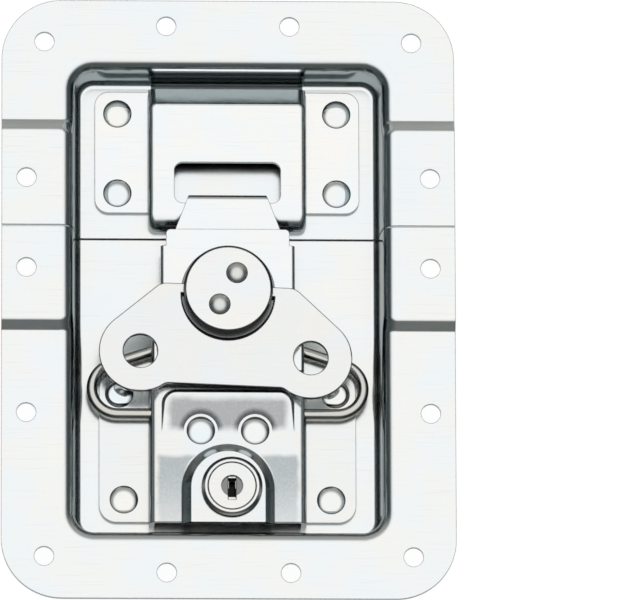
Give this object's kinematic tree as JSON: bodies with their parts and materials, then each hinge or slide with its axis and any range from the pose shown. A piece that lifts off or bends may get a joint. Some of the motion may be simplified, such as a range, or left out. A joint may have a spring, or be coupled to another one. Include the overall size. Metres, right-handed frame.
{
  "type": "recessed butterfly latch",
  "caption": "Recessed dish latch for a flight case: fold-up twist wing, wire draw link, slotted keeper and key lock in a split flanged dish.",
  "frame": {"origin": "centre of the corner screw holes, on the flange's back face", "axes": "+X to the right, +Y up the plate from the lock to the keeper, +Z out of the case"},
  "size_m": [0.127, 0.172, 0.0189],
  "materials": {
    "dish_sheet": "bright zinc plate",
    "strap_sheet": "bright zinc plate",
    "hook_sheet": "bright zinc plate",
    "wing_sheet": "satin zinc plate",
    "cap_plate": "satin zinc plate",
    "dome_rivet": "bright zinc plate",
    "cap_rivet": "matt steel",
    "link_wire": "nickel plated wire",
    "lock_metal": "polished nickel plate",
    "inner_steel": "plain zinc plate"
  },
  "bodies": {
    "root": {"dish_lower": "dish_sheet", "dish_upper": "dish_sheet", "keeper_plate": "strap_sheet", "base_plate": "strap_sheet", "keeper_rivet_1": "dome_rivet", "keeper_rivet_2": "dome_rivet", "keeper_rivet_3": "dome_rivet", "keeper_rivet_4": "dome_rivet", "base_rivet_1": "dome_rivet", "base_rivet_2": "dome_rivet", "base_rivet_3": "dome_rivet", "base_rivet_4": "dome_rivet", "housing_rivet_1": "dome_rivet", "housing_rivet_2": "dome_rivet", "bolt_guide": "inner_steel", "lock_barrel": "lock_metal", "lock_clip": "inner_steel"},
    "link": {"wire_link": "link_wire"},
    "hook": {"hook_plate": "hook_sheet"},
    "rotor": {"rotor_drum": "inner_steel", "crank_plate": "inner_steel", "lug_washer": "inner_steel", "rotor_cap": "cap_plate", "cap_rivet_1": "cap_rivet", "cap_rivet_2": "cap_rivet"},
    "wing": {"wing": "wing_sheet"},
    "key_plug": {"lock_plug": "lock_metal", "lock_crank": "inner_steel"},
    "bolt": {"lock_bolt": "inner_steel"}
  },
  "joints": [
    {"name": "link_swing", "type": "hinge", "parent": "root", "child": "link", "pos_m": [0, -0.031, -0.0082], "axis": [1, 0, 0], "range_deg": [0, 95]},
    {"name": "hook_draw", "type": "slide", "parent": "link", "child": "hook", "axis": [0, 1, 0], "range_m": [0, 0.006]},
    {"name": "rotor_turn", "type": "hinge", "parent": "hook", "child": "rotor", "pos_m": [0, 0.0028, -0.0051], "axis": [0, 0, 1], "range_deg": [0, 180]},
    {"name": "wing_lift", "type": "hinge", "parent": "rotor", "child": "wing", "pos_m": [0.00001, 0.00292, -0.0018], "axis": [-0.9992, 0.0401, 0], "range_deg": [0, 90]},
    {"name": "key_turn", "type": "hinge", "parent": "root", "child": "key_plug", "pos_m": [0.001, -0.0533, -0.0006], "axis": [0, 0, 1], "range_deg": [0, 90]},
    {"name": "bolt_slide", "type": "slide", "parent": "root", "child": "bolt", "axis": [0, 1, 0], "range_m": [0, 0.00495]}
  ],
  "couplings": [
    {"joint": "hook_draw", "follows": "rotor_turn", "m_per_rad": 0.0019099},
    {"joint": "bolt_slide", "follows": "key_turn", "m_per_rad": 0.0031511}
  ]
}
